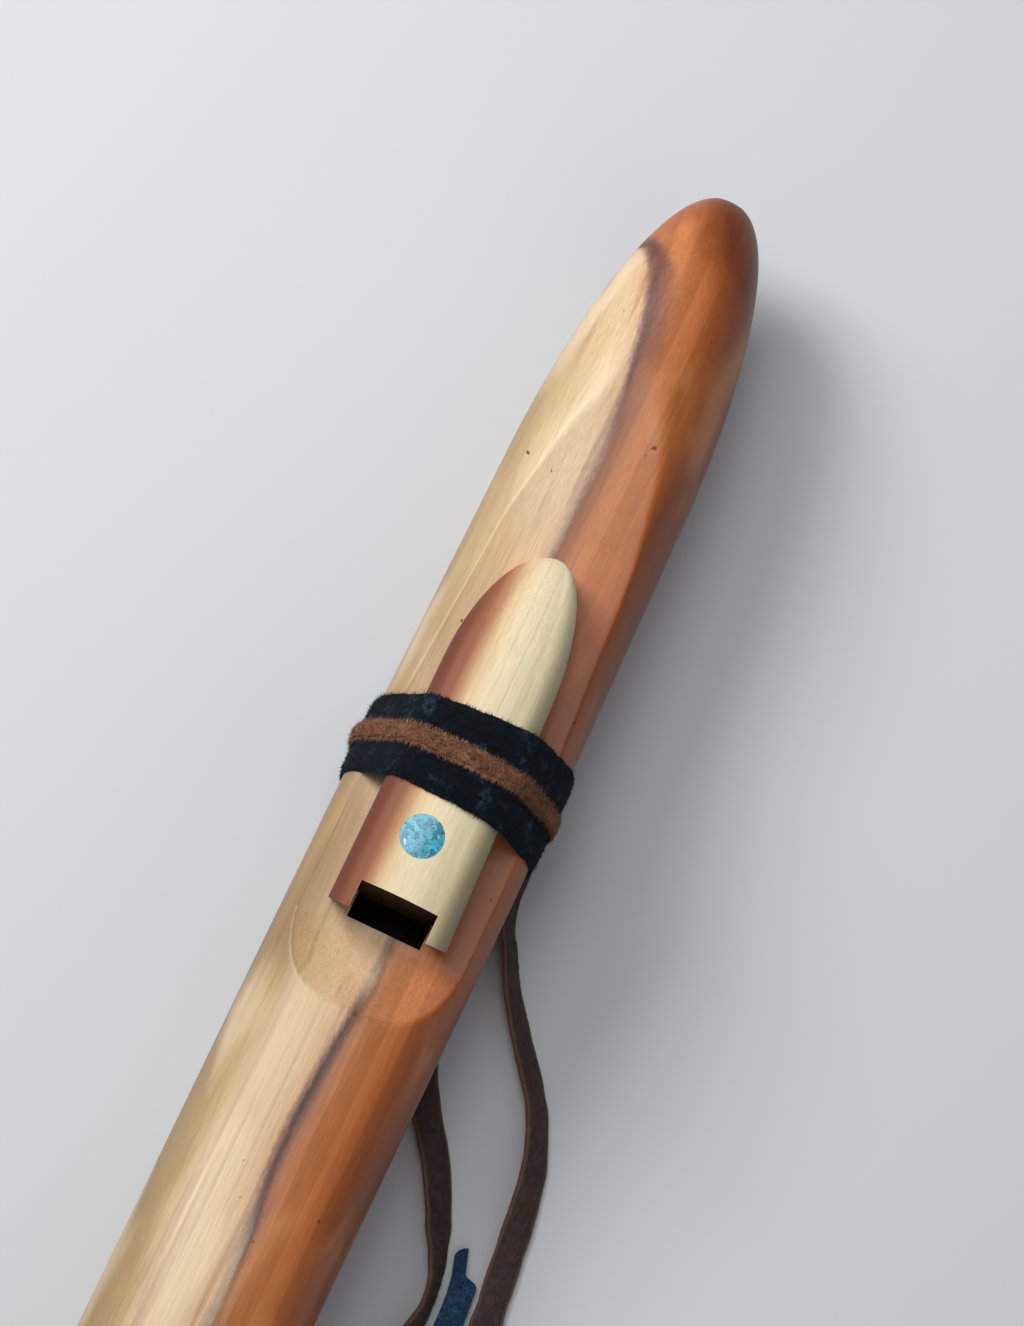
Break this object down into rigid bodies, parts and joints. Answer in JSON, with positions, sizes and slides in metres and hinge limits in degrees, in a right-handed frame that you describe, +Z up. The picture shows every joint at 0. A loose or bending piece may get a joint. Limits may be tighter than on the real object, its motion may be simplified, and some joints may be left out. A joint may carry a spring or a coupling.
{
  "type": "native american style flute",
  "caption": "Two-chamber wooden flute with a tied-on sliding block, round stone inlay, suede strap and lace with loose tails.",
  "frame": {"origin": "middle of the flute's length, on the surface that it lies on, under the bore's axis", "axes": "+Y along the bore towards the mouth end, +Z up through the block"},
  "size_m": [0.0843, 0.5392, 0.0514],
  "materials": {
    "body_wood": "sanded and oiled two-tone wood",
    "block_wood": "sanded cedar with a red heart edge",
    "turquoise": "crushed turquoise set in resin, sanded flush",
    "navy_suede": "brushed suede",
    "blue_suede": "suede",
    "brown_suede": "rough suede lace",
    "brown_leather": "creased grain side"
  },
  "bodies": {
    "flute": {"upper_half": "body_wood", "lower_half": "body_wood", "chamber_plug": "body_wood", "strap_wrap": "navy_suede", "strap_knot": "navy_suede", "strap_tail_long": "blue_suede", "strap_tail_short": "blue_suede", "lace_wrap": "brown_suede", "lace_knot": "brown_suede", "lace_tail_right": "brown_leather", "lace_tail_left": "brown_leather"},
    "block": {"block": "block_wood", "turquoise_inlay": "turquoise"}
  },
  "joints": [
    {"name": "block_slide", "type": "slide", "parent": "flute", "child": "block", "axis": [0, 1, 0], "range_m": [-0.0008, 0.004]}
  ]
}
